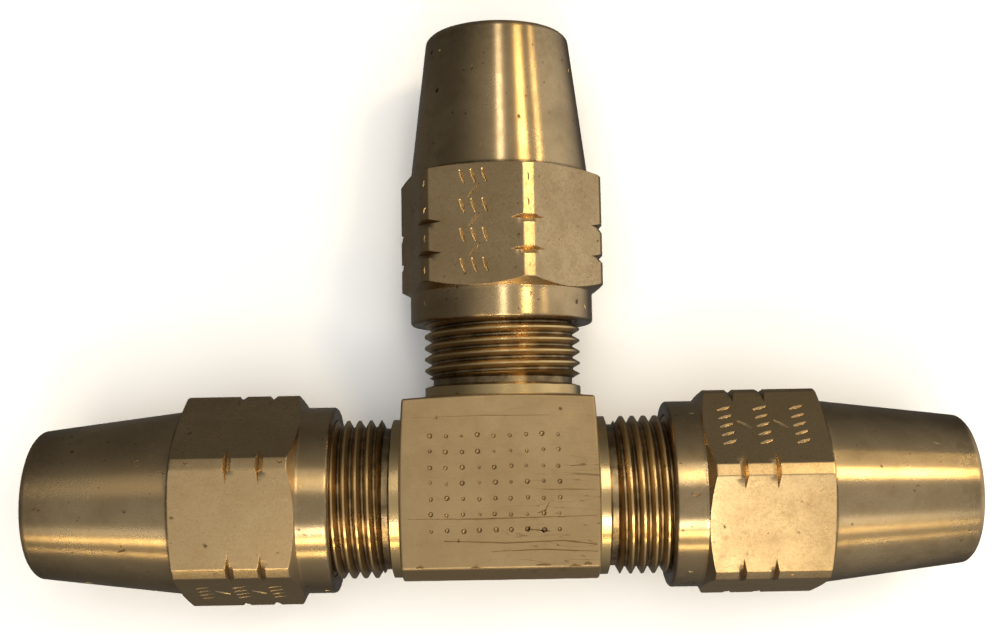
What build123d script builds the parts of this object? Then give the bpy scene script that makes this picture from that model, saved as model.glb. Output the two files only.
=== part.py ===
from build123d import *
import os
from collections import namedtuple
from math import radians, tan

# Brass compression union tee for 12.7 mm (1/2 in) air-brake tubing, in millimetres.
# The run lies along X, the branch points along +Y, and the tee lies flat with +Z up.
# The origin is where the run axis and the branch axis cross.
# Each of the three ends carries a tube support, a sleeve and a long hexagon tube nut.

# ---- thread shared by the tee's spigots and the nuts: 11/16 in, 20 threads per inch ----
pitch = 1.27
spigot_crest_r = 8.73
spigot_root_r = 7.95
nut_crest_r = 8.15
nut_root_r = 8.85
flank_slope = tan(radians(30))
spigot_root_flat = 0.17
nut_root_flat = 0.30
cutter_overrun = 0.08

# ---- tube and flow passage ----
tube_bore_r = 6.45
passage_r = 3.97

# ---- tee block ----
block_half_depth = 9.5
block_lower_edge = -7.2
block_underside = -9.2
face_cone_start_r = 9.0
face_cone_fall = 0.08
cone_reach_r = 18.0

# ---- spigot, measured from the block's turned face ----
spigot_length = 13.85
spigot_foot = 4.0
neck_length = 1.0
neck_relief_length = 0.9
neck_relief_r = 7.8
spigot_end_r = 7.85
spigot_groove_start = 1.5
spigot_groove_angle = 37
tube_stop = 3.3
seat_mouth_r = 7.3
seat_slope = tan(radians(30))
support_seat_depth = 3.0
support_press_gap = 0.02

# ---- tube support: thin pipe with a foot flange, standing on the tube stop ----
support_outer_r = 4.7
support_inner_r = 4.2
support_flange_r = 6.2
support_flange_thick = 0.9
support_length = 18.0
support_lead_in = 0.3

# ---- sleeve, measured from its nose ----
sleeve_bore_r = 6.42
sleeve_outer_r = 7.75
sleeve_nose_r = 6.85
sleeve_length = 7.1
sleeve_nose_in_nut = 9.75
sleeve_seat_gap = 0.1

# ---- tube nut, measured from its collar's face ----
hex_across_flats = 20.84
collar_r = 10.27
collar_length = 3.4
hex_chamfer_length = 0.73
hex_corner_r = 11.68
hex_end = 16.74
hex_end_break = 0.38
tail_root_r = 10.12
tail_tip_r = 8.2
nut_length = 33.1
tail_edge_break = 0.5
notch_positions = (7.1, 10.5)
notch_root_r = 11.1
notch_top_r = 12.0
notch_half_width = 0.45
nut_relief_r = 9.0
nut_relief_length = 1.3
nut_mouth_r = 8.95
nut_mouth_length = 0.8
nut_groove_start = -0.85
nut_groove_angle = 143

# direction: outward axis; block_face: where the block's turned face meets the neck;
# nut_front: the collar's face at rest; corner_angle: one hexagon corner, turned from +Z
# about the outward axis, in degrees
Arm = namedtuple("Arm", "name direction block_face nut_front corner_angle")
arms = (
    Arm("left", (-1, 0, 0), 11.25, 18.57, 21.6),
    Arm("right", (1, 0, 0), 10.15, 17.85, -13.5),
    Arm("branch", (0, 1, 0), 11.15, 19.19, 15.4),
)
left, right, branch = arms


def cross_plane(arm):
    """Plane square to the arm's axis, through the origin, with its x towards +Z."""
    return Plane(origin=(0, 0, 0), x_dir=(0, 0, 1), z_dir=arm.direction)


def section_plane(arm):
    """Half-section plane of the arm: x is the radius, y runs outward along the arm."""
    return Plane(origin=(0, 0, 0), x_dir=(0, 0, 1), z_dir=Vector(0, 0, 1).cross(Vector(*arm.direction)))


def arm_axis(arm):
    return Axis((0, 0, 0), arm.direction)


def outline(*points):
    """Straight-sided half-section, filled, in the current sketch."""
    Polygon(*points, align=None)


def thread_groove(first, last, start_angle, inner_r, outer_r, narrow_r, narrow_width):
    """Cutter of one right-hand thread groove about +Z, from the height first to last.

    Its section is narrow_width wide at narrow_r, and its flanks open at 30 degrees
    towards the far radius. It starts at start_angle, turned from +X about +Z.
    """
    inner_width = narrow_width + 2 * flank_slope * abs(inner_r - narrow_r)
    outer_width = narrow_width + 2 * flank_slope * abs(outer_r - narrow_r)
    with BuildPart() as cutter:
        with BuildLine(Plane.XY.offset(first)) as path:
            Helix(pitch, last - first, (inner_r + outer_r) / 2)
        with BuildSketch(Plane.XZ):
            outline(
                (inner_r, first - inner_width / 2),
                (outer_r, first - outer_width / 2),
                (outer_r, first + outer_width / 2),
                (inner_r, first + inner_width / 2),
            )
        sweep(path=path.line, is_frenet=True)
    return cutter.part.rotate(Axis.Z, start_angle)


# ---- spigot blank about +Z: the block's face is at height 0 and its foot is buried in the block ----
relief_end = neck_length + neck_relief_length
with BuildPart() as spigot:
    with BuildSketch(Plane.XZ):
        outline(
            (0, -spigot_foot),
            (spigot_crest_r, -spigot_foot),
            (spigot_crest_r, neck_length),
            (neck_relief_r, neck_length + 0.3),
            (neck_relief_r, relief_end),
            (spigot_crest_r, relief_end + 0.5),
            (spigot_crest_r, spigot_length - (spigot_crest_r - spigot_end_r)),
            (spigot_end_r, spigot_length),
            (0, spigot_length),
        )
    revolve(axis=Axis.Z)
    add(
        thread_groove(
            spigot_groove_start,
            spigot_length + 1,
            spigot_groove_angle,
            spigot_root_r,
            spigot_crest_r + cutter_overrun,
            spigot_root_r,
            spigot_root_flat,
        ),
        mode=Mode.SUBTRACT,
    )


# ---- tee body ----
with BuildPart() as tee_body:
    # bar with flat front and back and a shallow arched underside
    with BuildSketch(Plane.YZ.offset(-left.block_face)):
        with BuildLine():
            Polyline(
                (block_lower_edge, -block_half_depth),
                (branch.block_face, -block_half_depth),
                (branch.block_face, block_half_depth),
                (block_lower_edge, block_half_depth),
            )
            ThreePointArc(
                (block_lower_edge, block_half_depth),
                (block_underside, 0),
                (block_lower_edge, -block_half_depth),
            )
        make_face()
    extrude(amount=left.block_face + right.block_face)

    # three faces turned to a very flat cone, so the bar's corners stand a little further in
    for arm in arms:
        with BuildSketch(section_plane(arm)):
            outline(
                (face_cone_start_r, arm.block_face),
                (cone_reach_r, arm.block_face - face_cone_fall * (cone_reach_r - face_cone_start_r)),
                (cone_reach_r, arm.block_face + 1),
                (face_cone_start_r, arm.block_face + 1),
            )
        revolve(axis=arm_axis(arm), mode=Mode.SUBTRACT)

    # three threaded spigots, each with a plain neck and a run-out relief beside the block
    for arm in arms:
        add(cross_plane(arm).offset(arm.block_face).location * spigot.part)

    # passages, support seats, tube sockets and the conical mouths that take the sleeves
    for arm in arms:
        spigot_end = arm.block_face + spigot_length
        stop = arm.block_face + tube_stop
        seat_depth = (seat_mouth_r - tube_bore_r) / seat_slope
        with BuildSketch(section_plane(arm)):
            outline(
                (0, 0),
                (passage_r, 0),
                (passage_r, stop - support_seat_depth),
                (support_outer_r + support_press_gap, stop - support_seat_depth),
                (support_outer_r + support_press_gap, stop),
                (tube_bore_r, stop),
                (tube_bore_r, spigot_end - seat_depth),
                (seat_mouth_r, spigot_end),
                (0, spigot_end),
            )
        revolve(axis=arm_axis(arm), mode=Mode.SUBTRACT)
tee_body.part.label = "tee_body"


def tube_support(arm):
    """Thin pipe that keeps a plastic tube from collapsing under the sleeve."""
    stop = arm.block_face + tube_stop
    foot = stop - support_seat_depth
    end = stop + support_length
    with BuildPart() as support:
        with BuildSketch(section_plane(arm)):
            outline(
                (support_inner_r, foot),
                (support_outer_r, foot),
                (support_outer_r, stop),
                (support_flange_r, stop),
                (support_flange_r, stop + support_flange_thick),
                (support_outer_r, stop + support_flange_thick),
                (support_outer_r, end - support_lead_in),
                (support_outer_r - support_lead_in, end),
                (support_inner_r, end),
            )
        revolve(axis=arm_axis(arm))
    return support.part


def sleeve(arm):
    """Brass ring that the nut squeezes onto the tube: cone nose, plain band, cone back."""
    nose = arm.nut_front + sleeve_nose_in_nut
    back = nose + sleeve_length
    nose_cone = (sleeve_outer_r - sleeve_nose_r) / seat_slope
    back_cone = sleeve_outer_r - sleeve_nose_r
    with BuildPart() as ring:
        with BuildSketch(section_plane(arm)):
            outline(
                (sleeve_bore_r, nose),
                (sleeve_nose_r, nose),
                (sleeve_outer_r, nose + nose_cone),
                (sleeve_outer_r, back - back_cone),
                (sleeve_nose_r, back),
                (sleeve_bore_r, back),
            )
        revolve(axis=arm_axis(arm))
    return ring.part


# ---- nut chamber about +Z: everything hollow in a nut, with the collar's face at height 0 ----
sleeve_back = sleeve_nose_in_nut + sleeve_length + sleeve_seat_gap
seat_start = sleeve_back - (nut_crest_r - sleeve_nose_r)
tube_bore_start = sleeve_back + (sleeve_nose_r - tube_bore_r)
relief_start = seat_start - nut_relief_length
with BuildPart() as nut_chamber:
    with BuildSketch(Plane.XZ):
        outline(
            (0, -2),
            (nut_mouth_r, -2),
            (nut_mouth_r, 0),
            (nut_crest_r, nut_mouth_length),
            (nut_crest_r, relief_start - 0.3),
            (nut_relief_r, relief_start),
            (nut_relief_r, seat_start - 0.3),
            (nut_crest_r, seat_start),
            (tube_bore_r, tube_bore_start),
            (tube_bore_r, nut_length - tail_edge_break),
            (tube_bore_r + tail_edge_break, nut_length),
            (tube_bore_r + tail_edge_break, nut_length + 1),
            (0, nut_length + 1),
        )
    revolve(axis=Axis.Z)
    add(
        thread_groove(
            nut_groove_start,
            seat_start - 0.9,
            nut_groove_angle,
            nut_crest_r - cutter_overrun,
            nut_root_r,
            nut_root_r,
            nut_root_flat,
        )
    )


def mesh_angle(arm):
    """Turn of a nut about its outward axis that lays its thread over the spigot's ridge."""
    advance = arm.nut_front + nut_groove_start - arm.block_face - spigot_groove_start - pitch / 2
    return 360 * advance / pitch + spigot_groove_angle - nut_groove_angle


def tube_nut(arm):
    """Long hexagon nut: round collar, notched hexagon, tapered tail, threaded inside."""
    turn = mesh_angle(arm)
    with BuildPart() as nut:
        with BuildSketch():
            RegularPolygon(hex_across_flats / 2, 6, major_radius=False)
        extrude(amount=nut_length)

        # turned outside: the hexagon is left standing between the collar and the tail,
        # with its corners turned off to narrow bands
        with BuildSketch(Plane.XZ):
            outline(
                (0, 0),
                (collar_r - 0.2, 0),
                (collar_r, 0.2),
                (collar_r, collar_length),
                (hex_corner_r, collar_length + hex_chamfer_length),
                (hex_corner_r, hex_end - hex_end_break),
                (tail_root_r, hex_end),
                (tail_tip_r, nut_length - tail_edge_break),
                (tail_tip_r - tail_edge_break, nut_length),
                (0, nut_length),
            )
        revolve(axis=Axis.Z, mode=Mode.INTERSECT)

        # two turned V notches, so shallow that they only cross the hexagon's corners
        for position in notch_positions:
            with BuildSketch(Plane.XZ):
                outline(
                    (notch_root_r, position),
                    (notch_top_r, position - notch_half_width),
                    (notch_top_r, position + notch_half_width),
                )
            revolve(axis=Axis.Z, mode=Mode.SUBTRACT)
    # a corner of the plain polygon points along +X, so it is turned to the arm's corner angle
    outside = nut.part.rotate(Axis.Z, arm.corner_angle - turn)
    threaded = (outside - nut_chamber.part).rotate(Axis.Z, turn)
    return cross_plane(arm).offset(arm.nut_front).location * threaded


os.makedirs("parts", exist_ok=True)
export_step(tee_body.part, "parts/tee_body.step")
for arm in arms:
    for piece, make in (("tube_nut", tube_nut), ("sleeve", sleeve), ("tube_support", tube_support)):
        solid = make(arm)
        solid.label = f"{piece}_{arm.name}"
        export_step(solid, f"parts/{solid.label}.step")
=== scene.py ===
import math
import random

import bmesh
import bpy
import numpy as np
from mathutils import Matrix, Vector


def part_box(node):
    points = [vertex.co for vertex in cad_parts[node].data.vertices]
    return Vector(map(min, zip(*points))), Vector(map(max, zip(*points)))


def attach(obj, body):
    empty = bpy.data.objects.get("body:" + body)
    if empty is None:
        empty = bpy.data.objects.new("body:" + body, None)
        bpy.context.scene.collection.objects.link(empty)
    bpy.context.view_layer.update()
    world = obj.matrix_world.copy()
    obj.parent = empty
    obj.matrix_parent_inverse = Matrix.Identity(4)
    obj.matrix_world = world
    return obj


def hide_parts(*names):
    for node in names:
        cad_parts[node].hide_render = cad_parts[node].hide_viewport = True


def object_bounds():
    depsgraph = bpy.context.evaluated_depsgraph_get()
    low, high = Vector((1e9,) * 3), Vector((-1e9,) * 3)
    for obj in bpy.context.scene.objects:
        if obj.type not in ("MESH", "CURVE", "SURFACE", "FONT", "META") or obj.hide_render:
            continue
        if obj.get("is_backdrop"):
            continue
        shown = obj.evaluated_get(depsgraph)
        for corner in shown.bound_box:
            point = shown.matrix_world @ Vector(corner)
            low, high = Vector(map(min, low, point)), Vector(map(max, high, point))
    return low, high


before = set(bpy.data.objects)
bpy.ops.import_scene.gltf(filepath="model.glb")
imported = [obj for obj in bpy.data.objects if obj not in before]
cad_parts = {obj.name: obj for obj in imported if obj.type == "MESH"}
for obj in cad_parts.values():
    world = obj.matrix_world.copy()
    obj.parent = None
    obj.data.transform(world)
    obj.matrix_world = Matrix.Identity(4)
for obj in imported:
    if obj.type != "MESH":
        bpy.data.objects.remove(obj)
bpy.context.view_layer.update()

MM = 0.001
SKIN = 0.03  # the finished skin lies this far inside the CAD's own, in mm
CREASE_DEGREES = 24  # edges sharper than this stay crisp
CUTTER_LIFT = 0.06  # small cutters stand this far proud of the face they cut, in mm

# ---- arms: outward direction and the angle of one hexagon corner, from +Z about it ----
ARMS = {
    "left": (Vector((-1, 0, 0)), 21.6),
    "right": (Vector((1, 0, 0)), -13.5),
    "branch": (Vector((0, 1, 0)), 15.4),
}

# ---- tube nut, in mm, with heights from its collar's face ----
COLLAR_R = 10.24
HEX_CORNER_R = 11.65
TAIL_START, TAIL_START_R = 16.74, 10.09
TAIL_END, TAIL_END_R = 32.6, 8.17
# height, radius, rounding of that corner
NUT_OUTLINE = (
    (0.03, 0.0, 0.0),
    (0.03, 10.04, 0.12),
    (0.24, COLLAR_R, 0.12),
    (3.4, COLLAR_R, 0.3),
    (4.13, HEX_CORNER_R, 0.1),
    (16.36, HEX_CORNER_R, 0.1),
    (16.72, TAIL_START_R, 0.25),
    (32.58, TAIL_END_R, 0.25),
    (33.07, 7.66, 0.2),
    (33.07, 0.0, 0.0),
)
HEX_HALF = 10.42 - SKIN
HEX_EDGE_ROUNDING = 0.05
HEX_START, HEX_END = 3.42, 16.7
NOTCH_POSITIONS = (7.1, 10.5)
NOTCH_ROOT_R = 11.1 - SKIN
NOTCH_ROUNDING = 0.03
NOTCH_SLOPE = 0.9 / 0.45
TICK_SPACING = 1.25
TICK_REACH = 0.6

# ---- tee block, in mm ----
BLOCK_HALF_DEPTH = 9.5 - SKIN
BLOCK_LOWER_EDGE = -7.2 + SKIN
BLOCK_UNDERSIDE = -9.2 + SKIN
FACE_CONE_START_R = 9.0
FACE_CONE_FALL = 0.08
BLOCK_EDGE_R = 0.28
BLOCK_WEAR = 0.02
SPIGOT_LENGTH = 13.85
SPIGOT_CLEAR_R = 9.1
NECK_R = 8.73
THREAD_ROOT_R = 7.95

LIT_CENTRE = Vector((0, 0.012, 0))


# ---------------------------------------------------------------- mesh helpers
def new_object(name, vertices, faces):
    mesh = bpy.data.meshes.new(name)
    mesh.from_pydata([tuple(v) for v in vertices], [], faces)
    mesh.update()
    made = bpy.data.objects.new(name, mesh)
    bpy.context.scene.collection.objects.link(made)
    return made


def cad_copy(node, name):
    """A welded copy of a CAD node's mesh in a new object."""
    work = bmesh.new()
    work.from_mesh(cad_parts[node].data)
    bmesh.ops.remove_doubles(work, verts=work.verts, dist=2e-7)
    work.verts.index_update()
    vertices = [v.co.copy() for v in work.verts]
    faces = [[v.index for v in f.verts] for f in work.faces]
    work.free()
    return new_object(name, vertices, faces)


def carve(piece, tool, operation):
    """The piece's mesh becomes its union, difference or intersection with the tool."""
    modifier = piece.modifiers.new("carve", "BOOLEAN")
    modifier.object = tool
    modifier.operation = operation
    modifier.solver = "MANIFOLD"
    bpy.context.view_layer.update()
    result = bpy.data.meshes.new_from_object(
        piece.evaluated_get(bpy.context.evaluated_depsgraph_get())
    )
    piece.modifiers.clear()
    piece.data = result
    bpy.data.objects.remove(tool)


def smooth_shade(piece):
    piece.data.shade_smooth()
    piece.data.set_sharp_from_angle(angle=math.radians(CREASE_DEGREES))


def ring_mesh(name, rings, place):
    """Closed mesh from rings of equal length, the first and last each shrunk to a point."""
    columns = len(rings[0])
    vertices = [rings[0].mean(0)]
    for ring in rings[1:-1]:
        vertices.extend(ring)
    vertices.append(rings[-1].mean(0))
    count = len(rings) - 2
    faces = [(0, 1 + (k + 1) % columns, 1 + k) for k in range(columns)]
    for i in range(count - 1):
        low = 1 + i * columns
        for k in range(columns):
            after = (k + 1) % columns
            faces.append((low + k, low + after, low + columns + after, low + columns + k))
    top = 1 + (count - 1) * columns
    faces += [(len(vertices) - 1, top + k, top + (k + 1) % columns) for k in range(columns)]
    return new_object(name, [place @ Vector(v) for v in vertices], faces)


# ---------------------------------------------------------------- small cutters
class Cutters:
    """Many small closed cutters gathered in one mesh."""

    def __init__(self):
        self.vertices = []
        self.faces = []

    def add(self, vertices, faces):
        start = len(self.vertices)
        self.vertices.extend(vertices)
        self.faces.extend([tuple(i + start for i in f) for f in faces])

    def groove(self, place, points, width, depth):
        """V groove along points (a, b) of the face whose frame is place, fading at its ends."""
        count = len(points)
        vertices = []
        for i, (a, b) in enumerate(points):
            before = Vector(points[max(i - 1, 0)])
            after = Vector(points[min(i + 1, count - 1)])
            along = (after - before).normalized()
            end = i in (0, count - 1)
            half = width / 2 * (1 + CUTTER_LIFT / depth) * (0.55 if end else 1)
            stretch = along * (width * 0.6) * (-1 if i == 0 else 1) if end else Vector((0, 0))
            side = Vector((-along.y, along.x)) * half
            centre = Vector((a, b))
            for spot, height in (
                (centre + stretch + side, CUTTER_LIFT),
                (centre + stretch - side, CUTTER_LIFT),
                (centre, -depth * (0.75 if end else 1)),
            ):
                vertices.append(place @ Vector((spot.x, spot.y, height)))
        faces = [(0, 1, 2), (3 * count - 1, 3 * count - 2, 3 * count - 3)]
        for i in range(count - 1):
            p, q = 3 * i, 3 * i + 3
            faces += [(p, q, q + 1, p + 1), (p + 1, q + 1, q + 2, p + 2), (p + 2, q + 2, q, p)]
        self.add(vertices, faces)

    def pit(self, place, a, b, radius, depth, turn):
        """Small pit with a blunt tip at (a, b) of the face whose frame is place."""
        sides = 9
        rings = (
            (radius * (1 + 0.6 * CUTTER_LIFT / depth), CUTTER_LIFT),
            (radius, 0.0),
            (radius * 0.6, -depth * 0.7),
        )
        vertices = [place @ Vector((a, b, CUTTER_LIFT))]
        for ring_r, height in rings:
            for k in range(sides):
                angle = math.tau * k / sides + turn
                reach_a, reach_b = ring_r * math.cos(angle), ring_r * math.sin(angle)
                vertices.append(place @ Vector((a + reach_a, b + reach_b, height)))
        vertices.append(place @ Vector((a, b, -depth)))
        faces = [(0, 1 + k, 1 + (k + 1) % sides) for k in range(sides)]
        for i in range(2):
            low = 1 + i * sides
            for k in range(sides):
                after = (k + 1) % sides
                faces.append((low + k, low + sides + k, low + sides + after, low + after))
        last = 1 + 2 * sides
        tip = len(vertices) - 1
        faces += [(last + k, tip, last + (k + 1) % sides) for k in range(sides)]
        self.add(vertices, faces)

    def cut(self, piece):
        tool = new_object("cutter", self.vertices, self.faces)
        work = bmesh.new()
        work.from_mesh(tool.data)
        bmesh.ops.recalc_face_normals(work, faces=work.faces)
        work.to_mesh(tool.data)
        work.free()
        carve(piece, tool, "DIFFERENCE")


# ---------------------------------------------------------------- tube nuts
def arm_place(direction, front):
    """Frame of an arm in metres from mm: x towards +Z, z outward, origin on the nut's face."""
    up = Vector((0, 0, 1))
    side = direction.cross(up)
    turn = Matrix((up, side, direction)).transposed().to_4x4()
    return Matrix.Translation(direction * front) @ turn @ Matrix.Scale(MM, 4)


def flat_place(place, degrees, height, distance):
    """Frame on a surface of the nut: x along the arm, y across, z outward from the arm's axis."""
    angle = math.radians(degrees)
    normal = Vector((math.cos(angle), math.sin(angle), 0))
    along = Vector((0, 0, 1))
    across = normal.cross(along)
    turn = Matrix((along, across, normal)).transposed().to_4x4()
    return place @ Matrix.Translation(normal * distance + along * height) @ turn


def rounded_outline(points):
    """The outline's corners turned into small arcs."""
    corners = []
    for i, (height, radius, rounding) in enumerate(points):
        here = np.array((height, radius))
        if rounding == 0:
            corners.append([here])
            continue
        arms = []
        for other in (points[i - 1], points[i + 1]):
            away = np.array(other[:2]) - here
            arms.append(here + away / np.linalg.norm(away) * rounding)
        t = np.linspace(0, 1, 6)[:, None]
        corners.append(list((1 - t) ** 2 * arms[0] + 2 * t * (1 - t) * here + t**2 * arms[1]))
    return np.concatenate(corners)


def refined(line):
    """The outline with rows close together at the chamfers and the notches."""
    fine = [line[0]]
    for start, end in zip(line[:-1], line[1:]):
        gap = end - start
        if gap[0] < 1e-6:
            parts = max(1, int(abs(gap[1]) / 2.5))
            fine += [start + gap * k / parts for k in range(1, parts + 1)]
            continue
        heights = [end[0]]
        height = start[0]
        while height < end[0] - 0.02:
            near_notch = min(abs(height - position) for position in NOTCH_POSITIONS) < 0.5
            near_chamfer = 3.3 < height < 4.3 or 16.2 < height < 16.8
            height += 0.035 if near_chamfer else 0.05 if near_notch else 0.45
            if height < end[0] - 0.01:
                heights.insert(-1, height)
        fine += [start + gap * (h - start[0]) / gap[0] for h in heights]
    return np.array(fine)


def smooth_least(a, b, width):
    """The lesser of a and b, with the change from one to the other rounded over width."""
    share = np.clip(0.5 + 0.5 * (b - a) / width, 0, 1)
    return b * (1 - share) + a * share - width * share * (1 - share)


def hexagon_radius(from_corner):
    """Distance from the axis to the hexagon's flats, at an angle from the nearest corner."""
    return HEX_HALF / np.cos(np.radians(30 - from_corner))


def column_angles(corner):
    """Angles of the nut's columns, in degrees, close together near the hexagon's corners."""
    half = np.concatenate(
        (
            np.arange(0, 2.5, 0.6),
            np.arange(2.5, 4, 0.15),
            np.arange(4, 10, 0.5),
            np.arange(10.5, 29, 1.5),
            [30],
        )
    )
    full = np.concatenate((-half[:0:-1], half[:-1]))
    turns = np.concatenate([corner + 60 * k + full for k in range(6)])
    return turns, np.tile(np.abs(full), 6)


def nut_skin(place, corner):
    """Solid of the nut's outside: turned outline, hexagon and two V notches round it."""
    angles, from_corner = column_angles(corner)
    outline = refined(rounded_outline(NUT_OUTLINE))
    hexagon = hexagon_radius(from_corner)
    cos, sin = np.cos(np.radians(angles)), np.sin(np.radians(angles))
    rings = []
    for height, radius in outline:
        reach = smooth_least(hexagon, radius, min(HEX_EDGE_ROUNDING, radius + 1e-6))
        for position in NOTCH_POSITIONS:
            rise = abs(height - position) * NOTCH_SLOPE
            reach = smooth_least(reach, NOTCH_ROOT_R + rise, NOTCH_ROUNDING)
        reach = np.maximum(reach, 0)
        rings.append(np.stack((reach * cos, reach * sin, height + 0 * reach), 1))
    return ring_mesh("nut_skin", rings, place)


def stamp_row(cutters, place, across, count, slant):
    """A row of short slanted ticks across a flat."""
    for k in range(count):
        b = across + (k - (count - 1) / 2) * TICK_SPACING
        tick = ((-TICK_REACH, b - slant), (0.0, b), (TICK_REACH, b + slant))
        cutters.groove(place, tick, 0.40, 0.19)


def stamp_flat(cutters, place, degrees, across, rows, count, first, spacing):
    """Plain stamped pattern that repeats along a flat: rows of ticks with one tick between."""
    for row in range(rows):
        spot = flat_place(place, degrees, first + row * spacing, HEX_HALF)
        stamp_row(cutters, spot, across, count, 0.22)
        between = flat_place(place, degrees, first + (row + 0.5) * spacing, HEX_HALF)
        if row < rows - 1:
            stamp_row(cutters, between, across, 1, -0.5)


def nick(cutters, place, degrees, height, distance, dice):
    """A short shallow knock along the arm."""
    spot = flat_place(place, degrees, height, distance)
    reach = dice.uniform(0.15, 0.4)
    cutters.groove(
        spot,
        ((-reach, dice.uniform(-0.2, 0.2)), (0, 0), (reach, dice.uniform(-0.2, 0.2))),
        dice.uniform(0.1, 0.28),
        dice.uniform(0.05, 0.14),
    )


def nut_marks(place, corner, seed, stamps):
    """Stamped patterns on flats, with nicks along the corners, the collar and the tail."""
    cutters = Cutters()
    for stamp in stamps:
        stamp_flat(cutters, place, *stamp)
    dice = random.Random(seed)
    for k in range(6):
        for height in (5.3, 8.8, 12.4, 14.6):
            if dice.random() < 0.6:
                spread = dice.uniform(-0.6, 0.6)
                nick(cutters, place, corner + 60 * k, height + spread, HEX_CORNER_R, dice)
    for k in range(9):
        height = dice.uniform(18.5, 31.5)
        share = (height - TAIL_START) / (TAIL_END - TAIL_START)
        radius = TAIL_START_R + (TAIL_END_R - TAIL_START_R) * share
        nick(cutters, place, 40 * k + dice.uniform(-12, 12), height, radius, dice)
    for k in range(5):
        degrees = 72 * k + dice.uniform(-20, 20)
        nick(cutters, place, degrees, dice.uniform(0.9, 2.6), COLLAR_R, dice)
    return cutters


def dress_nut(nut, arm, place, front):
    """Turned brass all over, and drawn brass on the hexagon's outside."""
    nut.data.materials.clear()
    for drawn in (False, True):
        nut.data.materials.append(nut_brass(arm, ARMS[arm][0], front, drawn))
    back = place.inverted()
    for polygon in nut.data.polygons:
        centre = back @ polygon.center
        outside = math.hypot(centre.x, centre.y) > HEX_HALF - 0.3
        sideways = abs((back.to_3x3() @ polygon.normal).normalized().z) < 0.3
        if outside and sideways and HEX_START < centre.z < HEX_END:
            polygon.material_index = 1


def make_nut(arm, seed, stamps):
    """Nut on an arm, with its nicks seeded and its stamps given as stamp_flat takes them."""
    direction, corner = ARMS[arm]
    low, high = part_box(f"tube_nut_{arm}")
    front = min(abs(low.dot(direction)), abs(high.dot(direction)))
    place = arm_place(direction, front)
    nut = cad_copy(f"tube_nut_{arm}", f"Nut_{arm}")
    carve(nut, nut_skin(place, corner), "INTERSECT")
    nut_marks(place, corner, seed, stamps).cut(nut)
    smooth_shade(nut)
    dress_nut(nut, arm, place, front / MM)
    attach(nut, f"{arm}_nut")
    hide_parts(f"tube_nut_{arm}")


# ---------------------------------------------------------------- tee
def edge_grid(half, fine, coarse):
    """Grid lines from -1 to 1 times half, close together near both ends."""
    inner = np.arange(-half + 6 * fine, half - 6 * fine, coarse)
    ends = half - fine * np.arange(0, 6)
    return np.unique(np.round(np.concatenate((-ends, inner, ends)), 6))


def block_grid(half):
    """Vertices and faces of a box of half sizes half, one shared vertex at each grid point."""
    lines = [edge_grid(h, 0.07, 0.45) for h in half]
    index, vertices, faces = {}, [], []

    def vertex(point):
        key = tuple(np.round(point, 5))
        if key not in index:
            index[key] = len(vertices)
            vertices.append(point)
        return index[key]

    for axis in range(3):
        u, v = (axis + 1) % 3, (axis + 2) % 3
        for side in (-1, 1):
            grid = []
            for a in lines[u]:
                row = []
                for b in lines[v]:
                    point = [0, 0, 0]
                    point[axis], point[u], point[v] = side * half[axis], a, b
                    row.append(vertex(point))
                grid.append(row)
            for i in range(len(grid) - 1):
                for j in range(len(grid[0]) - 1):
                    quad = (grid[i][j], grid[i + 1][j], grid[i + 1][j + 1], grid[i][j + 1])
                    faces.append(quad if side > 0 else quad[::-1])
    return np.array(vertices, float), faces


def wave(p, seed):
    """Slow seeded unevenness of the block's faces, from -1 to 1."""
    dice = random.Random(seed)
    total = np.zeros(len(p))
    for _ in range(8):
        direction = np.array([dice.gauss(0, 1) for _ in range(3)])
        total += np.sin(p @ direction * dice.uniform(0.25, 1.1) + dice.uniform(0, 6.3))
    return total / 8


def block_skin():
    """Solid of the block: rounded edges, flat front and back, arched underside, coned ends."""
    low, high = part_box("tee_body")
    left = -low.x / MM - SPIGOT_LENGTH - SKIN
    right = high.x / MM - SPIGOT_LENGTH - SKIN
    top = high.y / MM - SPIGOT_LENGTH - SKIN
    half = ((left + right) / 2, (top - BLOCK_LOWER_EDGE) / 2, BLOCK_HALF_DEPTH)
    centre = np.array(((right - left) / 2, (top + BLOCK_LOWER_EDGE) / 2, 0.0))
    points, faces = block_grid(half)
    core = np.clip(points, -np.array(half) + BLOCK_EDGE_R, np.array(half) - BLOCK_EDGE_R)
    away = points - core
    away /= np.linalg.norm(away, axis=1)[:, None]
    points = core + away * BLOCK_EDGE_R
    points -= away * (BLOCK_WEAR + BLOCK_WEAR * wave(points, 5))[:, None]
    points += centre
    # the underside's shallow arch
    rise = BLOCK_LOWER_EDGE - BLOCK_UNDERSIDE
    arch_r = (BLOCK_HALF_DEPTH**2 + rise**2) / (2 * rise)
    drop = rise - (arch_r - np.sqrt(arch_r**2 - points[:, 2] ** 2))
    share = np.clip((BLOCK_LOWER_EDGE + 2.5 - points[:, 1]) / 2.5, 0, 1)
    points[:, 1] -= np.maximum(drop - 0.05, 0) * share
    # end faces fall away outside the spigots
    across_x = np.hypot(points[:, 1], points[:, 2])
    fall_x = FACE_CONE_FALL * np.maximum(across_x - FACE_CONE_START_R, 0)
    near_x = np.clip((np.abs(points[:, 0] - centre[0]) - half[0] + 3) / 3, 0, 1)
    points[:, 0] -= np.sign(points[:, 0]) * fall_x * near_x
    across_y = np.hypot(points[:, 0], points[:, 2])
    near_y = np.clip((points[:, 1] - top + 3) / 3, 0, 1)
    points[:, 1] -= FACE_CONE_FALL * np.maximum(across_y - FACE_CONE_START_R, 0) * near_y
    return new_object("block_skin", points * MM, faces)


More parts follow.
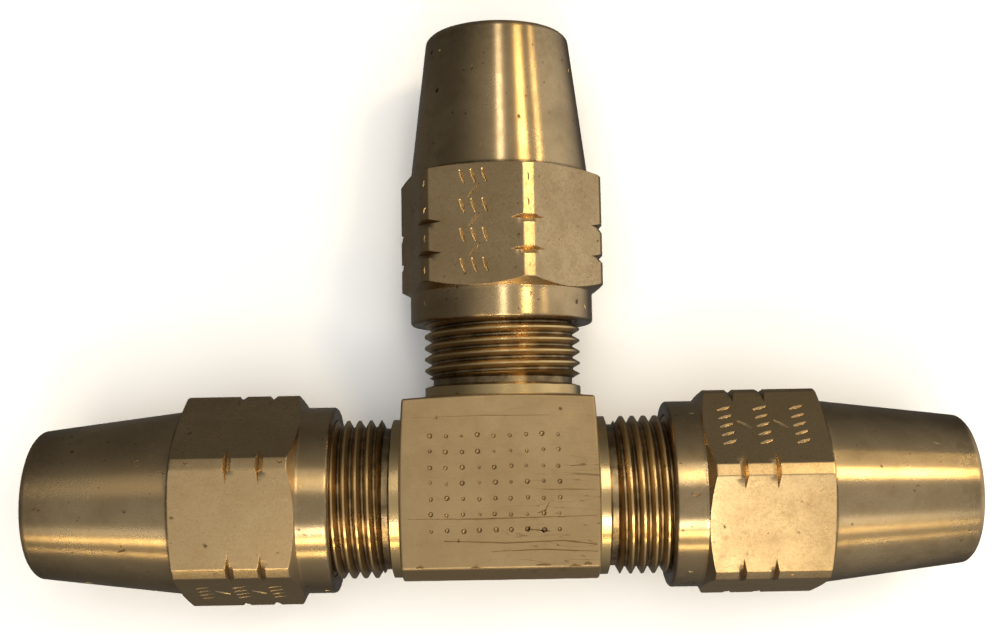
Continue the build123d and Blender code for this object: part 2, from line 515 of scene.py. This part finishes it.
def clearance_cylinder(direction):
    """Cylinder that lets a spigot through the block's skin."""
    angles = np.linspace(0, math.tau, 97)[:-1]
    rings = []
    for height, radius in ((0, 0), (0, SPIGOT_CLEAR_R), (30, SPIGOT_CLEAR_R), (30, 0)):
        cos, sin = np.cos(angles), np.sin(angles)
        rings.append(np.stack((radius * cos, radius * sin, height + 0 * angles), 1))
    return ring_mesh("clearance", rings, arm_place(direction, 0))


def block_marks():
    """A plain grid of shallow dimples on the front face, with scratches and chipped edges."""
    cutters = Cutters()
    front = Matrix.Scale(MM, 4) @ Matrix.Translation((0, 0, BLOCK_HALF_DEPTH - BLOCK_WEAR))
    dice = random.Random(11)
    for row in range(7):
        for column in range(9):
            a = -7.8 + column * 1.69 + dice.uniform(-0.08, 0.08)
            b = 6.75 - row * 1.65 + dice.uniform(-0.08, 0.08)
            size = dice.uniform(0.15, 0.30)
            cutters.pit(front, a, b, size, size * dice.uniform(0.8, 1.2), dice.uniform(0, 1))
    scratches = (
        (((-10.2, -1.85), (-3.0, -1.95), (9.6, -1.8)), 0.10, 0.035),
        (((-6.4, -4.2), (0.0, -4.45), (6.0, -4.3), (9.4, -4.75)), 0.14, 0.05),
        (((-1.5, -5.35), (4.0, -5.2), (9.5, -5.5)), 0.10, 0.04),
        (((3.8, 0.95), (6.6, 1.0), (9.6, 0.9)), 0.09, 0.03),
        (((4.6, -0.35), (4.2, -1.15), (3.4, -1.45)), 0.10, 0.04),
        (((2.4, -3.1), (4.6, -3.35)), 0.16, 0.06),
        (((6.9, 3.4), (8.4, 3.5)), 0.12, 0.05),
        (((-9.6, 8.7), (-2.0, 8.85), (4.8, 8.75)), 0.07, 0.025),
    )
    for points, width, depth in scratches:
        cutters.groove(front, points, width * 1.4, depth * 1.5)
    chips = (
        (3.2, -6.8, 1.3),
        (6.7, -6.95, 0.9),
        (8.2, -6.75, 0.6),
        (-9.4, -6.9, 0.7),
        (-3.6, -7.0, 0.8),
    )
    for a, b, reach in chips:
        cutters.groove(front, ((a, b), (a + reach / 2, b + 0.12), (a + reach, b)), 0.34, 0.12)
    back = Matrix.Scale(-1, 4, (0, 0, 1)) @ front
    for _ in range(14):
        a, b = dice.uniform(-9.5, 8.5), dice.uniform(-6, 10)
        reach, lean = dice.uniform(0.6, 3.5), dice.uniform(-0.25, 0.25)
        cutters.groove(back, ((a, b), (a + reach, b + reach * lean)), 0.11, 0.04)
    return cutters


def make_tee():
    tee = cad_copy("tee_body", "Tee_body")
    skin = block_skin()
    for direction, _ in ARMS.values():
        carve(skin, clearance_cylinder(direction), "UNION")
    carve(tee, skin, "INTERSECT")
    block_marks().cut(tee)
    smooth_shade(tee)
    tee.data.materials.clear()
    tee.data.materials.append(tee_brass())
    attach(tee, "tee")
    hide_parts("tee_body")


# ---------------------------------------------------------------- materials
BRIGHT = (0.64, 0.475, 0.265, 1)
DULL = (0.53, 0.39, 0.215, 1)
# dark colour of real specks and torn flecks, also used for painted shade in the nuts' hollows and
# the thread roots
GRIME_AND_SHADE = (0.055, 0.036, 0.018, 1)
# bright fresh metal for scratches and sleeves, also used for a painted highlight on the thread
# crests
FRESH_AND_HIGHLIGHT = (0.80, 0.585, 0.27, 1)
PATCH = (0.34, 0.235, 0.115, 1)
FINE_PATCH = (0.3, 0.21, 0.1, 1)
MOTTLE = (0.30, 0.20, 0.09, 1)
BLOCK_DULL = (0.27, 0.205, 0.125, 1)


def node(tree, kind, inputs=None, **settings):
    made = tree.nodes.new(kind)
    for key, value in settings.items():
        setattr(made, key, value)
    for key, value in (inputs or {}).items():
        if isinstance(value, bpy.types.NodeSocket):
            tree.links.new(value, made.inputs[key])
        else:
            made.inputs[key].default_value = value
    return made


def calc(tree, operation, a, b=0.0, clamp=False):
    made = node(tree, "ShaderNodeMath", {0: a, 1: b}, operation=operation, use_clamp=clamp)
    return made.outputs[0]


def product(tree, a, b):
    return calc(tree, "MULTIPLY", a, b)


def greater(tree, a, b):
    return calc(tree, "MAXIMUM", a, b)


def plus(tree, a, b):
    return calc(tree, "ADD", a, b)


def ramp(tree, value, low, high, start=0.0, end=1.0):
    """value from low to high becomes start to end, smoothly and held at both ends."""
    made = node(
        tree,
        "ShaderNodeMapRange",
        {"Value": value, 1: low, 2: high, 3: start, 4: end},
        interpolation_type="SMOOTHSTEP",
    )
    return made.outputs[0]


def blend(tree, share, a, b):
    made = node(tree, "ShaderNodeMix", {0: share, 6: a, 7: b}, data_type="RGBA")
    return made.outputs[2]


def noise(tree, vector, scale, detail=2.0, distortion=0.0):
    made = node(
        tree,
        "ShaderNodeTexNoise",
        {"Vector": vector, "Scale": scale, "Detail": detail, "Distortion": distortion},
    )
    return made.outputs["Fac"]


def stretched(tree, vector, scale):
    made = node(tree, "ShaderNodeVectorMath", {0: vector, 1: scale}, operation="MULTIPLY")
    return made.outputs[0]


def scaled(tree, vector, factor):
    made = node(tree, "ShaderNodeVectorMath", {0: vector, "Scale": factor}, operation="SCALE")
    return made.outputs[0]


def millimetres(tree):
    return scaled(tree, node(tree, "ShaderNodeTexCoord").outputs["Object"], 1000.0)


def split(tree, vector):
    return node(tree, "ShaderNodeSeparateXYZ", {0: vector}).outputs


def hypotenuse(tree, a, b):
    return calc(tree, "SQRT", plus(tree, product(tree, a, a), product(tree, b, b)))


def specks(tree, vector, scale, size, kept):
    """Small round spots, in a share of the cells of a grid of 1/scale mm."""
    ragged = node(tree, "ShaderNodeTexNoise", {"Vector": vector, "Scale": 4.0}).outputs["Color"]
    drift = scaled(tree, ragged, 0.5)
    moved = node(tree, "ShaderNodeVectorMath", {0: vector, 1: drift}, operation="ADD")
    cells = node(tree, "ShaderNodeTexVoronoi", {"Vector": moved.outputs[0], "Scale": scale})
    spot = ramp(tree, cells.outputs["Distance"], size * 0.45, size, 1.0, 0.0)
    chance = split(tree, cells.outputs["Color"])[0]
    return product(tree, spot, ramp(tree, chance, kept - 0.02, kept + 0.02))


def hairlines(tree, vector, scale, width):
    """Thin wandering lines, such as light scratches."""
    value = noise(tree, vector, scale, 1.0, 0.6)
    off = calc(tree, "ABSOLUTE", calc(tree, "SUBTRACT", value, 0.5))
    return ramp(tree, off, width * 0.4, width, 1.0, 0.0)


def ring_value(tree, radius, along, scale):
    """Value that changes only along the turned outline, as a turning tool leaves it."""
    made = node(
        tree,
        "ShaderNodeTexNoise",
        {"W": plus(tree, radius, along), "Scale": scale, "Detail": 3.0},
        noise_dimensions="1D",
    )
    return made.outputs["Fac"]


def new_material(name):
    material = bpy.data.materials.new(name)
    material.use_nodes = True
    tree = material.node_tree
    shader = tree.nodes["Principled BSDF"]
    shader.inputs["Metallic"].default_value = 1.0
    return material, tree, shader


def brass_base(tree, vector, grain):
    """Colour, roughness and height shared by every brass surface, before its own marks."""
    cloud = noise(tree, vector, 0.16, 4.0, 0.4)
    colour = blend(tree, ramp(tree, cloud, 0.36, 0.66), DULL, BRIGHT)
    patch = ramp(tree, noise(tree, vector, 0.55, 5.0, 0.3), 0.45, 0.8, 0.0, 0.35)
    colour = blend(tree, patch, colour, PATCH)
    fine = noise(tree, vector, 5.0, 4.0)
    colour = blend(tree, ramp(tree, fine, 0.5, 0.75, 0.0, 0.25), colour, FINE_PATCH)
    rough = plus(tree, ramp(tree, cloud, 0.3, 0.7, 0.31, 0.26), product(tree, patch, 0.12))
    rough = plus(tree, rough, product(tree, calc(tree, "SUBTRACT", fine, 0.5), 0.08))
    height = plus(tree, product(tree, fine, 0.35), product(tree, grain, 0.65))
    return colour, rough, height


def finish_brass(tree, shader, colour, rough, height, distance):
    bump = node(tree, "ShaderNodeBump", {"Height": height, "Distance": distance, "Strength": 1.0})
    tree.links.new(colour, shader.inputs["Base Color"])
    tree.links.new(rough, shader.inputs["Roughness"])
    tree.links.new(bump.outputs[0], shader.inputs["Normal"])


def arm_coordinates(tree, vector, direction):
    """Radius from the arm's axis and distance out along it, in mm."""
    x, y, z = split(tree, vector)[0:3]
    if abs(direction.x) > 0.5:
        return hypotenuse(tree, y, z), product(tree, x, direction.x)
    return hypotenuse(tree, x, z), product(tree, y, direction.y)


def nut_brass(arm, direction, front, drawn):
    """Brass of a nut: rings round its turned faces, or drawing lines along the hexagon."""
    material, tree, shader = new_material(f"nut_{'flats' if drawn else 'turned'}_{arm}")
    vector = millimetres(tree)
    radius, along = arm_coordinates(tree, vector, direction)
    on_run = abs(direction.x) > 0.5
    if drawn:
        lines = stretched(tree, vector, (0.12, 4.0, 4.0) if on_run else (4.0, 0.12, 4.0))
        grain = noise(tree, lines, 1.0, 3.0)
    else:
        grain = ring_value(tree, radius, along, 3.5)
    colour, rough, height = brass_base(tree, vector, grain)
    if drawn:
        colour, rough = mottled(tree, vector, colour, rough)
    scratched = ramp(tree, noise(tree, vector, 0.25), 0.5, 0.6)
    scratch = product(tree, hairlines(tree, vector, 0.7, 0.006), scratched)
    colour = blend(tree, product(tree, scratch, 0.6), colour, FRESH_AND_HIGHLIGHT)
    small = product(tree, specks(tree, vector, 0.9, 0.16, 0.72), 0.8)
    spots = greater(tree, specks(tree, vector, 0.33, 0.12, 0.6), small)
    colour = blend(tree, product(tree, spots, 0.8), colour, GRIME_AND_SHADE)
    rough = calc(tree, "ADD", rough, product(tree, spots, 0.3), True)
    # painted shade: darker at the hexagon's shoulder, on the collar's face and inside the nut
    painted_shade = nut_painted_shade(tree, vector, radius, calc(tree, "SUBTRACT", along, front))
    colour = blend(tree, painted_shade, colour, GRIME_AND_SHADE)
    height = calc(tree, "SUBTRACT", height, product(tree, spots, 0.5))
    finish_brass(tree, shader, colour, rough, height, 6e-6)
    if not drawn:
        axis = "X" if on_run else "Y"
        tangent = node(tree, "ShaderNodeTangent", direction_type="RADIAL", axis=axis)
        tree.links.new(tangent.outputs[0], shader.inputs["Tangent"])
        shader.inputs["Anisotropic"].default_value = 0.92
        shader.inputs["Anisotropic Rotation"].default_value = 0.25
    return material


def mottled(tree, vector, colour, rough):
    """Fine dark veins and a cloudy bloom, as on a handled drawn flat."""
    bloom = ramp(tree, noise(tree, vector, 2.6, 6.0, 1.0), 0.48, 0.68)
    veins = greater(
        tree, hairlines(tree, vector, 1.5, 0.022), hairlines(tree, vector, 2.7, 0.025)
    )
    veined = ramp(tree, noise(tree, vector, 0.5, 3.0), 0.35, 0.65, 0.15, 1.0)
    veins = product(tree, product(tree, veins, veined), 0.5)
    dark = greater(tree, product(tree, bloom, 0.35), veins)
    colour = blend(tree, dark, colour, MOTTLE)
    return colour, plus(tree, plus(tree, rough, product(tree, dark, 0.15)), 0.06)


def nut_painted_shade(tree, vector, radius, height):
    """Painted shade where the hexagon meets the tail, on the collar's face and inside the nut."""
    past_hexagon = ramp(tree, height, 16.45, 16.65)
    before_tail = ramp(tree, height, 16.78, 17.0, 1.0, 0.0)
    shoulder = product(tree, product(tree, past_hexagon, before_tail), 0.6)
    face = ramp(tree, height, 0.05, 0.4, 0.55, 0.0)
    inside = ramp(tree, radius, 7.2, 9.0, 0.85, 0.0)
    inside = product(tree, inside, ramp(tree, height, 33.0, 32.0))
    painted_shade = greater(tree, shoulder, greater(tree, face, inside))
    uneven = ramp(tree, noise(tree, vector, 1.5, 3.0), 0.3, 0.6, 0.55, 1.0)
    return product(tree, painted_shade, uneven)


def tee_brass():
    """Brass of the tee: drawn bar on the block, turned threads on the spigots, with grime and
    painted shade in their roots and a painted highlight on their worn crests.
    """
    material, tree, shader = new_material("tee_brass")
    vector = millimetres(tree)
    x, y, z = split(tree, vector)[0:3]
    off_centre = calc(tree, "ABSOLUTE", plus(tree, x, 0.55))
    on_run = ramp(tree, off_centre, 10.72, 10.78)
    on_branch = ramp(tree, y, 11.16, 11.22)
    run_r, branch_r = hypotenuse(tree, y, z), hypotenuse(tree, x, z)
    block = calc(tree, "SUBTRACT", 1.0, greater(tree, on_run, on_branch))

    def on_spigots(low, high, start, end):
        """A ramp of the radius on the run's spigots and the same on the branch's."""
        run = product(tree, ramp(tree, run_r, low, high, start, end), on_run)
        branch = product(tree, ramp(tree, branch_r, low, high, start, end), on_branch)
        return greater(tree, run, branch)

    # drawn bar: lines along the run, dulled on the block
    lines = noise(tree, stretched(tree, vector, (0.1, 5.0, 5.0)), 1.0, 3.0)
    colour, rough, height = brass_base(tree, vector, lines)
    rough = plus(tree, rough, product(tree, block, 0.22))
    colour = blend(tree, product(tree, block, 0.55), colour, BLOCK_DULL)
    # torn metal: dark flecks and hairlines along the bar, thickest towards its lower right
    corner = plus(tree, product(tree, x, 0.05), product(tree, y, -0.05))
    worn = plus(tree, corner, noise(tree, vector, 0.3, 2.0))
    worn = product(tree, ramp(tree, worn, 0.45, 1.0, 0.1, 0.9), block)
    flecks = stretched(tree, vector, (0.7, 2.6, 2.6))
    fleck = ramp(tree, noise(tree, flecks, 1.0, 5.0, 0.5), 0.62, 0.72)
    hair = hairlines(tree, stretched(tree, vector, (0.08, 1.2, 1.2)), 0.9, 0.008)
    torn = product(tree, greater(tree, fleck, hair), worn)
    colour = blend(tree, product(tree, torn, 0.6), colour, GRIME_AND_SHADE)
    height = calc(tree, "SUBTRACT", height, torn)
    # threads: crests rubbed bright, with a painted highlight along them; roots darker with grime
    # and painted shade
    root = on_spigots(THREAD_ROOT_R + 0.03, THREAD_ROOT_R + 0.4, 1.0, 0.0)
    crest = on_spigots(NECK_R - 0.14, NECK_R - 0.04, 0.0, 1.0)
    uneven = ramp(tree, noise(tree, vector, 0.6, 3.0), 0.3, 0.65, 0.25, 0.75)
    # painted shade with grime, darkest in the thread roots
    colour = blend(tree, product(tree, root, uneven), colour, GRIME_AND_SHADE)
    # painted highlight with wear, along the thread crests
    colour = blend(tree, product(tree, crest, 0.7), colour, FRESH_AND_HIGHLIGHT)
    rough = calc(tree, "SUBTRACT", rough, product(tree, crest, 0.08))
    spots = specks(tree, vector, 0.45, 0.13, 0.7)
    colour = blend(tree, product(tree, spots, 0.7), colour, GRIME_AND_SHADE)
    finish_brass(tree, shader, colour, rough, height, 8e-6)
    return material


def turned_brass(name, fresh):
    """Brass of the sleeves and tube supports, which only show through the nuts' open ends."""
    material, tree, shader = new_material(name)
    vector = millimetres(tree)
    x, y, z = split(tree, vector)[0:3]
    rings = ring_value(tree, hypotenuse(tree, x, y), z, 2.5)
    colour, rough, height = brass_base(tree, vector, rings)
    colour = blend(tree, fresh, colour, FRESH_AND_HIGHLIGHT)
    finish_brass(tree, shader, colour, rough, height, 5e-6)
    return material


def dress_cad_nodes():
    """Sleeves and tube supports keep their CAD shape and get a worked brass."""
    sleeve, support = turned_brass("sleeve_brass", 0.25), turned_brass("support_brass", 0.5)
    for arm in ARMS:
        for piece, material in (("sleeve", sleeve), ("tube_support", support)):
            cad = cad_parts[f"{piece}_{arm}"]
            for slot in cad.material_slots:
                slot.material = material


# ---------------------------------------------------------------- stage
def floor_material():
    material, tree, shader = new_material("floor_paper")
    shader.inputs["Metallic"].default_value = 0.0
    shader.inputs["Roughness"].default_value = 0.9
    vector = millimetres(tree)
    tone = ramp(tree, noise(tree, vector, 0.02, 2.0), 0.3, 0.7)
    colour = blend(tree, tone, (0.80, 0.80, 0.79, 1), (0.83, 0.83, 0.82, 1))
    tree.links.new(colour, shader.inputs["Base Color"])
    return material


def make_floor(level):
    """Plain pale floor under the fitting."""
    reach = 1.5
    corners = [(a * reach, b * reach, level) for a, b in ((-1, -1), (1, -1), (1, 1), (-1, 1))]
    floor = new_object("Floor", corners, [(0, 1, 2, 3)])
    floor.data.materials.append(floor_material())
    floor.visible_glossy = False
    floor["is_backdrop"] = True


def softbox(name, direction, long_axis, length, width, power, colour, distance=0.45):
    """Flat lamp that faces the fitting from a direction, its length along long_axis."""
    light = bpy.data.lights.new(name, "AREA")
    light.shape = "RECTANGLE"
    light.size, light.size_y = length, width
    light.energy = power
    light.color = colour
    made = bpy.data.objects.new(name, light)
    way = Vector(direction).normalized()
    side = way.cross(Vector(long_axis)).normalized()
    turn = Matrix((side.cross(way), side, way)).transposed().to_4x4()
    made.matrix_world = Matrix.Translation(LIT_CENTRE + way * distance) @ turn
    bpy.context.scene.collection.objects.link(made)
    return made


def soft_world():
    """Plain studio surround: brightest above and to the lower right, dim on the left."""
    world = bpy.data.worlds.new("Studio")
    bpy.context.scene.world = world
    world.use_nodes = True
    tree = world.node_tree
    way = node(tree, "ShaderNodeTexCoord").outputs["Generated"]

    def towards(direction):
        inputs = {0: way, 1: Vector(direction).normalized()}
        made = node(tree, "ShaderNodeVectorMath", inputs, operation="DOT_PRODUCT")
        return made.outputs["Value"]

    broad = ramp(tree, towards((0.60, -0.35, 0.72)), -0.4, 1.0, 0.09, 0.47)
    side = ramp(tree, towards((0.97, 0.2, -0.05)), 0.6, 1.0, 0.0, 0.42)
    background = tree.nodes["Background"]
    background.inputs["Color"].default_value = (1.0, 0.97, 0.93, 1)
    tree.links.new(plus(tree, broad, side), background.inputs["Strength"])


def light_scene():
    """Long warm lamps for the streaks on the nuts, two pale ones and a large one overhead."""
    amber, pale = (1.0, 0.76, 0.38), (1.0, 0.93, 0.80)
    run, branch = (1, 0, 0), (0, 1, 0)
    softbox("Run_key", (-0.05, -0.76, 0.65), run, 0.40, 0.045, 0.45, amber)
    softbox("Run_rim", (0.0, -0.90, 0.38), run, 0.40, 0.02, 0.22, amber)
    softbox("Lamp", (0.50, 0.33, 0.80), branch, 0.09, 0.07, 0.52, amber)
    softbox("Lamp_rim", (0.72, 0.45, 0.48), branch, 0.20, 0.025, 0.14, amber)
    softbox("Front", (0.04, 0.40, 0.92), branch, 0.22, 0.05, 0.20, pale)
    softbox("Flat_fill", (0.03, -0.60, 0.79), run, 0.07, 0.07, 0.33, pale)
    overhead = softbox("Overhead", (0.1, 0.0, 1.0), run, 1.1, 1.1, 9.0, (1, 1, 1), 0.9)
    overhead.visible_glossy = False
    soft_world()


def make_camera():
    """Camera above the fitting, looking down at a slight tilt."""
    data = bpy.data.cameras.new("Camera")
    data.sensor_width = 36.0
    data.lens = 47.27
    camera = bpy.data.objects.new("Camera", data)
    turn = (
        Matrix.Rotation(-0.0995057, 4, "X")
        @ Matrix.Rotation(-0.0012099, 4, "Y")
        @ Matrix.Rotation(0.0181522, 4, "Z")
    )
    camera.matrix_world = Matrix.Translation((-0.000272, 0.005417, 0.148082)) @ turn.transposed()
    bpy.context.scene.collection.objects.link(camera)
    bpy.context.scene.camera = camera


# ---------------------------------------------------------------- build
make_tee()
# a stamp: flat's angle, offset across it, rows, ticks in a row, first row's height, spacing
make_nut("branch", 3, [(-14.6, 0.2, 4, 3, 5.6, 3.2)])
make_nut("left", 4, [(-68.4, 0.0, 3, 4, 6.2, 3.9)])
make_nut("right", 5, [(-43.5, 0.3, 3, 5, 6.0, 3.9)])
dress_cad_nodes()
make_floor(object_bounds()[0][2])
light_scene()
make_camera()
bpy.context.scene.view_settings.view_transform = "Standard"
